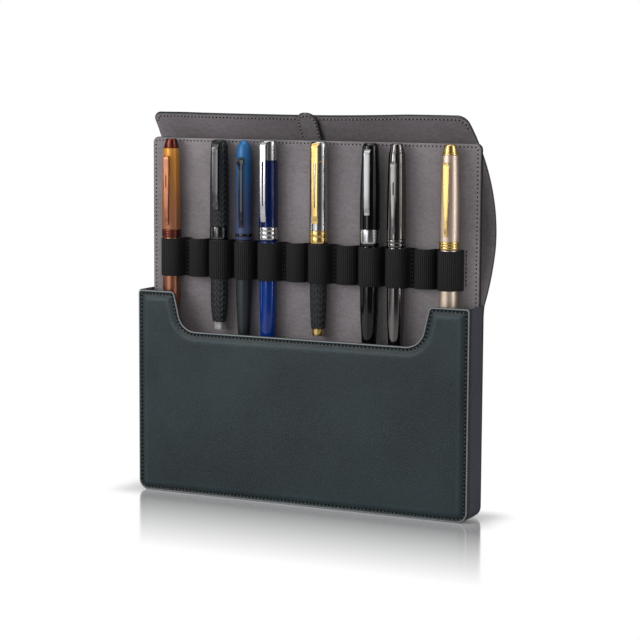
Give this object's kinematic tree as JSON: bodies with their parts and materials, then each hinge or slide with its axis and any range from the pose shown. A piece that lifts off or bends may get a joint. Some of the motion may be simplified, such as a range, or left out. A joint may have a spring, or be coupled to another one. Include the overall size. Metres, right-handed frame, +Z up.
{
  "type": "pen case",
  "caption": "Leather pen case with a scooped front, a pull-up insert board whose elastic loops hold capped pens, and a fold-over flap with a tab.",
  "frame": {"origin": "centre of the case's flat base, where it stands", "axes": "+X to the right seen from the front, +Y to the back, +Z up"},
  "size_m": [0.2476, 0.0488, 0.2595],
  "materials": {
    "case_leather": "dark green-grey, fine grain, satin",
    "gusset_leather": "dark blue-grey, fine grain, satin",
    "lining_leather": "taupe grey, fine grain, matte",
    "insert_leather": "taupe grey, fine grain, matte",
    "stiffener_board": "plain",
    "magnet": "plated",
    "elastic": "ribbed, matte",
    "amber_cap": "amber fading to copper, polished",
    "amber_barrel": "copper, polished",
    "amber_trim": "copper plated, polished",
    "woven_cap": "black, woven texture",
    "woven_barrel": "black, woven texture",
    "woven_trim": "gloss black",
    "blue_cap": "bright blue fading to navy, matte",
    "blue_barrel": "slate, matte",
    "blue_trim": "black, satin",
    "navy_cap": "navy, gloss",
    "navy_barrel": "royal blue, gloss",
    "navy_trim": "polished",
    "carbon_cap": "polished",
    "carbon_barrel": "dark, woven texture",
    "carbon_trim": "gold plated, polished",
    "black_cap": "black, gloss",
    "black_barrel": "black, gloss",
    "black_trim": "polished",
    "gunmetal_cap": "gunmetal, polished",
    "gunmetal_barrel": "gunmetal, polished",
    "gunmetal_trim": "polished",
    "champagne_cap": "champagne, satin",
    "champagne_barrel": "champagne, satin",
    "champagne_trim": "gold plated, polished",
    "pen_section": "black, satin",
    "pen_end": "pale grey, knurled"
  },
  "bodies": {
    "case": {"front_leather": "case_leather", "front_core": "stiffener_board", "front_lining": "lining_leather", "front_magnet": "magnet", "gusset": "gusset_leather", "back_leather": "case_leather", "back_core": "stiffener_board", "back_lining": "lining_leather"},
    "insert": {"insert_core": "stiffener_board", "insert_front_cover": "insert_leather", "insert_back_cover": "insert_leather", "elastic_band": "elastic"},
    "flap_top": {"flap_top_leather": "case_leather", "flap_top_lining": "lining_leather"},
    "flap_front": {"flap_front_leather": "case_leather", "flap_front_lining": "lining_leather", "tab_leather": "lining_leather", "tab_magnet": "magnet"},
    "pen_amber": {"amber_barrel": "amber_barrel", "amber_section": "pen_section"},
    "cap_amber": {"amber_cap": "amber_cap", "amber_cap_ring": "amber_trim", "amber_clip": "amber_trim"},
    "pen_woven": {"woven_barrel": "woven_barrel", "woven_section": "pen_section", "woven_barrel_end": "pen_end"},
    "cap_woven": {"woven_cap": "woven_cap", "woven_cap_ring": "woven_trim", "woven_clip": "woven_trim"},
    "pen_blue": {"blue_barrel": "blue_barrel", "blue_section": "pen_section"},
    "cap_blue": {"blue_cap": "blue_cap", "blue_cap_ring": "blue_trim", "blue_clip": "blue_trim"},
    "pen_navy": {"navy_barrel": "navy_barrel", "navy_section": "pen_section"},
    "cap_navy": {"navy_cap": "navy_cap", "navy_cap_ring": "navy_trim", "navy_clip": "navy_trim"},
    "pen_carbon": {"carbon_barrel": "carbon_barrel", "carbon_section": "pen_section", "carbon_barrel_end": "carbon_trim"},
    "cap_carbon": {"carbon_cap": "carbon_cap", "carbon_cap_ring": "carbon_trim", "carbon_clip": "carbon_trim"},
    "pen_black": {"black_barrel": "black_barrel", "black_section": "pen_section"},
    "cap_black": {"black_cap": "black_cap", "black_cap_ring": "black_trim", "black_clip": "black_trim"},
    "pen_gunmetal": {"gunmetal_barrel": "gunmetal_barrel", "gunmetal_section": "pen_section"},
    "cap_gunmetal": {"gunmetal_cap": "gunmetal_cap", "gunmetal_cap_ring": "gunmetal_trim", "gunmetal_clip": "gunmetal_trim"},
    "pen_champagne": {"champagne_barrel": "champagne_barrel", "champagne_section": "pen_section"},
    "cap_champagne": {"champagne_cap": "champagne_cap", "champagne_cap_ring": "champagne_trim", "champagne_clip": "champagne_trim"}
  },
  "joints": [
    {"name": "insert_slide", "type": "slide", "parent": "case", "child": "insert", "axis": [0, 0, 1], "range_m": [-0.101, 0.06]},
    {"name": "flap_hinge", "type": "hinge", "parent": "case", "child": "flap_top", "pos_m": [0, 0.0133, 0.138], "axis": [1, 0, 0], "range_deg": [-115, 0]},
    {"name": "flap_fold", "type": "hinge", "parent": "flap_top", "child": "flap_front", "pos_m": [0, 0.02675, 0.16016], "axis": [1, 0, 0], "range_deg": [-40, 0]},
    {"name": "amber_pen_lift", "type": "slide", "parent": "insert", "child": "pen_amber", "axis": [0, 0, 1], "range_m": [0, 0.075]},
    {"name": "amber_cap_pull", "type": "slide", "parent": "pen_amber", "child": "cap_amber", "axis": [0, 0, 1], "range_m": [0, 0.045]},
    {"name": "woven_pen_lift", "type": "slide", "parent": "insert", "child": "pen_woven", "axis": [0, 0, 1], "range_m": [0, 0.075]},
    {"name": "woven_cap_pull", "type": "slide", "parent": "pen_woven", "child": "cap_woven", "axis": [0, 0, 1], "range_m": [0, 0.045]},
    {"name": "blue_pen_lift", "type": "slide", "parent": "insert", "child": "pen_blue", "axis": [0, 0, 1], "range_m": [0, 0.075]},
    {"name": "blue_cap_pull", "type": "slide", "parent": "pen_blue", "child": "cap_blue", "axis": [0, 0, 1], "range_m": [0, 0.045]},
    {"name": "navy_pen_lift", "type": "slide", "parent": "insert", "child": "pen_navy", "axis": [0, 0, 1], "range_m": [0, 0.075]},
    {"name": "navy_cap_pull", "type": "slide", "parent": "pen_navy", "child": "cap_navy", "axis": [0, 0, 1], "range_m": [0, 0.045]},
    {"name": "carbon_pen_lift", "type": "slide", "parent": "insert", "child": "pen_carbon", "axis": [0, 0, 1], "range_m": [0, 0.075]},
    {"name": "carbon_cap_pull", "type": "slide", "parent": "pen_carbon", "child": "cap_carbon", "axis": [0, 0, 1], "range_m": [0, 0.045]},
    {"name": "black_pen_lift", "type": "slide", "parent": "insert", "child": "pen_black", "axis": [0, 0, 1], "range_m": [0, 0.075]},
    {"name": "black_cap_pull", "type": "slide", "parent": "pen_black", "child": "cap_black", "axis": [0, 0, 1], "range_m": [0, 0.045]},
    {"name": "gunmetal_pen_lift", "type": "slide", "parent": "insert", "child": "pen_gunmetal", "axis": [0, 0, 1], "range_m": [0, 0.075]},
    {"name": "gunmetal_cap_pull", "type": "slide", "parent": "pen_gunmetal", "child": "cap_gunmetal", "axis": [0, 0, 1], "range_m": [0, 0.045]},
    {"name": "champagne_pen_lift", "type": "slide", "parent": "insert", "child": "pen_champagne", "axis": [0, 0, 1], "range_m": [0, 0.075]},
    {"name": "champagne_cap_pull", "type": "slide", "parent": "pen_champagne", "child": "cap_champagne", "axis": [0, 0, 1], "range_m": [0, 0.045]}
  ]
}
